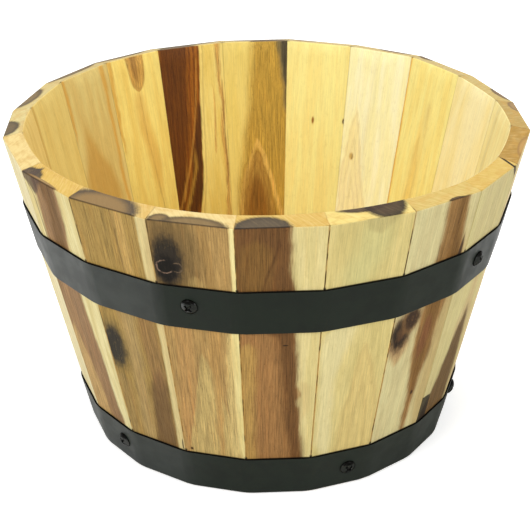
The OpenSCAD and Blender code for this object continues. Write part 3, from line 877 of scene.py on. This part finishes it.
def build_stave(number, settings):
    """A stave with softened edges, whose inner face is sanded towards a true round at the rim."""
    node = f"stave_{number:02d}"
    shape = copy_of_node(node)
    board = stave_frame(shape, number)
    soften(shape, long_edges(shape, BOARD_ARRIS), settings.arris_rounding, 2)
    sand_rim(shape, board, settings.rim_hollow)
    acacia = acacia_board(f"acacia_{node}", board, STAVES[number])
    finished(shape, f"oiled_{node}", acacia, node, slot="stave_wood")


def build_hoop(node, settings, material):
    """A hoop whose strip curves gently over each joint, with its thin edges eased all round. Its lapped
    ends keep their crisp cut edges."""
    shape = copy_of_node(node)
    bends = []
    for edge in shape.edges:
        run = edge.verts[1].co - edge.verts[0].co
        if abs(run.z) > STRIP_HEIGHT * MM and BEND[0] < edge.calc_face_angle(0) < BEND[1]:
            bends.append(edge)
    soften(shape, bends, settings.bend_reach, 4)
    lap_angle = math.radians(LAP_ANGLES[node])
    lap = Vector((math.sin(lap_angle), -math.cos(lap_angle), 0))
    thin = []
    for edge in shape.edges:
        middle = (edge.verts[0].co + edge.verts[1].co) / 2
        beside_lap = Vector((middle.x, middle.y, 0)).angle(lap) > math.radians(LAP_REACH)
        if beside_lap and edge.calc_face_angle(0) > CUT_EDGE and edge.calc_length() > SHORT_CUT * MM:
            thin.append(edge)
    soften(shape, thin, settings.edge_rounding, 2)
    for edge in shape.edges:
        edge.smooth = edge.calc_face_angle(0) < CRISP
    finished(shape, f"painted_{node}", material, node, slot="hoop_steel")


def build_floor_board(number, node, along_x):
    """A sawn board of the floor, or a batten under it."""
    shape = copy_of_node(node)
    soften(shape, long_edges(shape), FLOOR_ARRIS, 2)
    finished(shape, f"sawn_{node}", sawn_board(f"sawn_acacia_{number}", number, along_x), node,
             slot="floor_wood")


# ----------------------------------------
# Stage


def lay_floor(settings):
    """A wide floor just under the feet."""
    sheet = bmesh.new()
    below_feet = Matrix.Translation((0.0, 0.0, -FLOOR_DROP))
    bmesh.ops.create_grid(sheet, x_segments=1, y_segments=1, size=6.0, matrix=below_feet)
    mesh = bpy.data.meshes.new("studio_floor")
    sheet.to_mesh(mesh)
    sheet.free()
    mesh.materials.append(studio_floor("matt_white_floor", settings))
    floor = bpy.data.objects.new("studio_floor", mesh)
    bpy.context.scene.collection.objects.link(floor)


def hang_softbox(name, spot, size, power):
    """A round softbox turned towards the planter."""
    lamp = bpy.data.lights.new(name, "AREA")
    lamp.shape = "DISK"
    lamp.size = size
    lamp.energy = power
    softbox = bpy.data.objects.new(name, lamp)
    aim = LAMP_TARGET - Vector(spot)
    turn = aim.to_track_quat("-Z", "Y").to_matrix().to_4x4()
    softbox.matrix_world = Matrix.Translation(spot) @ turn
    bpy.context.scene.collection.objects.link(softbox)


def white_surround(settings):
    """A world that looks plain white and in mirrors, and lights the rest less."""
    world = bpy.data.worlds.new("white_surround")
    world.use_nodes = True
    tree = world.node_tree
    tree.nodes.clear()
    ray = add(tree, "ShaderNodeLightPath")
    seen = math_node(tree, "MAXIMUM", ray.outputs["Is Camera Ray"], ray.outputs["Is Glossy Ray"])
    seen = math_node(tree, "MAXIMUM", seen, ray.outputs["Is Transmission Ray"])
    strength = ramp(tree, seen, 0.0, 1.0, settings.sky_strength, 1.0)
    sky = add(tree, "ShaderNodeBackground", {"Color": (1.0, 1.0, 1.0, 1.0), "Strength": strength})
    add(tree, "ShaderNodeOutputWorld", [sky])
    bpy.context.scene.world = world


def set_camera(settings):
    """A camera in front of the planter that looks down into it."""
    scene = bpy.context.scene
    camera_data = bpy.data.cameras.new("front_camera")
    camera_data.lens = settings.lens
    camera_data.sensor_width = 36.0
    camera_data.clip_start = 0.05
    camera = bpy.data.objects.new("front_camera", camera_data)
    aim = Matrix.Translation(CAMERA_PLACE)
    for axis, degrees in CAMERA_TURNS:
        aim = aim @ Matrix.Rotation(math.radians(degrees), 4, axis)
    camera.matrix_world = aim
    scene.collection.objects.link(camera)
    scene.camera = camera
    scene.view_settings.view_transform = "Standard"


# ----------------------------------------
# What a user may change


class BarrelStaveSettings(bpy.types.PropertyGroup):
    arris_rounding: bpy.props.FloatProperty(
        name="Arris rounding", description="How much of each face a softened stave edge takes, in mm",
        default=0.25, min=0.05, max=0.4)
    rim_hollow: bpy.props.FloatProperty(
        name="Rim hollow", description="How deep the mouth is sanded in the middle of each stave, in mm",
        default=1.3, min=0.0, max=1.8)


class BarrelHoopSettings(bpy.types.PropertyGroup):
    bend_reach: bpy.props.FloatProperty(
        name="Bend reach", description="How far from each joint the strip starts to curve, in mm",
        default=5.0, min=1.0, max=8.0)
    edge_rounding: bpy.props.FloatProperty(
        name="Edge rounding", description="How much the strip's thin edges are eased, in mm",
        default=0.25, min=0.05, max=0.5)
    coat_colour: bpy.props.FloatVectorProperty(
        name="Coat colour", description="Colour of the powder coat", subtype="COLOR", size=3,
        default=linear("111C12")[:3], min=0.0, max=1.0)


class BarrelStageSettings(bpy.types.PropertyGroup):
    key_power: bpy.props.FloatProperty(
        name="Key light", description="Power of the large softbox at the front left",
        default=28.0, min=0.0, unit="POWER")
    fill_power: bpy.props.FloatProperty(
        name="Fill light", description="Power of the softbox at the right",
        default=14.0, min=0.0, unit="POWER")
    top_power: bpy.props.FloatProperty(
        name="Top light", description="Power of the softbox overhead that lights the inside",
        default=16.0, min=0.0, unit="POWER")
    sky_strength: bpy.props.FloatProperty(
        name="Surrounding light", description="Strength of the even light from all round",
        default=0.55, min=0.0, max=2.0)
    floor_lift: bpy.props.FloatProperty(
        name="Floor lift", description="How much whiter the floor looks to the camera",
        default=0.5, min=0.0, max=1.0)
    lens: bpy.props.FloatProperty(
        name="Lens", description="Focal length of the camera, in mm", default=95.68, min=20.0, max=300.0)


class BARREL_OT_staves(bpy.types.Operator):
    """Build the twenty staves in their own woods"""
    bl_idname = "barrel.staves"
    bl_label = "Staves"

    def execute(self, context):
        for number in STAVES:
            build_stave(number, context.scene.barrel_staves)
        return {"FINISHED"}


class BARREL_OT_hoops(bpy.types.Operator):
    """Build the two steel hoops"""
    bl_idname = "barrel.hoops"
    bl_label = "Hoops"

    def execute(self, context):
        settings = context.scene.barrel_hoops
        coat = black_powder_coat("satin_black_powder_coat", settings.coat_colour,
                                 roughness=0.42, shine=0.5, rim_shine=0.5, shade_from=0.6)
        for node in LAP_ANGLES:
            build_hoop(node, settings, coat)
        return {"FINISHED"}


class BARREL_OT_hoop_screws(bpy.types.Operator):
    """Build the domed screws that hold the hoops"""
    bl_idname = "barrel.hoop_screws"
    bl_label = "Hoop screws"

    def execute(self, context):
        colour = [0.4 * c for c in context.scene.barrel_hoops.coat_colour]
        coat = black_powder_coat("glossy_black_screw", colour,
                                 roughness=0.25, shine=0.8, rim_shine=0.05, shade_from=0.05)
        for node in ("upper_hoop_screws", "lower_hoop_screws"):
            finished(copy_of_node(node), f"black_{node}", coat, node, slot="black_screw")
        return {"FINISHED"}


class BARREL_OT_floor(bpy.types.Operator):
    """Build the floor boards, the battens under them and the battens' screws"""
    bl_idname = "barrel.floor"
    bl_label = "Floor"

    def execute(self, context):
        for number in range(1, FLOOR_BOARDS + 1):
            build_floor_board(number, f"floor_board_{number}", True)
        for number, node in enumerate(("left_batten", "right_batten"), FLOOR_BOARDS + 1):
            build_floor_board(number, node, False)
        finished(copy_of_node("batten_screws"), "zinc_batten_screws", zinc_plate("zinc_plated_steel"),
                 "batten_screws", slot="bright_screw")
        return {"FINISHED"}


class BARREL_OT_stage(bpy.types.Operator):
    """Set the planter on a pale floor in soft light, seen from the front and above"""
    bl_idname = "barrel.stage"
    bl_label = "Stage"

    def execute(self, context):
        settings = context.scene.barrel_stage
        lay_floor(settings)
        hang_softbox("key_softbox", (-1.3, -1.5, 1.7), 1.3, settings.key_power)
        hang_softbox("fill_softbox", (1.7, -1.0, 1.1), 1.2, settings.fill_power)
        hang_softbox("top_softbox", (0.1, 0.2, 2.0), 1.0, settings.top_power)
        white_surround(settings)
        set_camera(settings)
        return {"FINISHED"}


class VIEW3D_PT_barrel(bpy.types.Panel):
    bl_label = "Barrel planter"
    bl_space_type = "VIEW_3D"
    bl_region_type = "UI"
    bl_category = "Planter"

    def draw(self, context):
        for operator in BUILD_ORDER:
            self.layout.operator(operator)


BUILD_ORDER = ("barrel.stage", "barrel.staves", "barrel.hoops", "barrel.hoop_screws", "barrel.floor")
CLASSES = (
    BarrelStaveSettings, BarrelHoopSettings, BarrelStageSettings, BARREL_OT_staves, BARREL_OT_hoops,
    BARREL_OT_hoop_screws, BARREL_OT_floor, BARREL_OT_stage, VIEW3D_PT_barrel,
)


def register():
    for kind in CLASSES:
        bpy.utils.register_class(kind)
    bpy.types.Scene.barrel_staves = bpy.props.PointerProperty(type=BarrelStaveSettings)
    bpy.types.Scene.barrel_hoops = bpy.props.PointerProperty(type=BarrelHoopSettings)
    bpy.types.Scene.barrel_stage = bpy.props.PointerProperty(type=BarrelStageSettings)


def unregister():
    del bpy.types.Scene.barrel_staves
    del bpy.types.Scene.barrel_hoops
    del bpy.types.Scene.barrel_stage
    for kind in reversed(CLASSES):
        bpy.utils.unregister_class(kind)


def main():
    """Builds every piece."""
    register()
    for operator in BUILD_ORDER:
        group, name = operator.split(".")
        getattr(getattr(bpy.ops, group), name)()


if __name__ == "__main__":
    main()
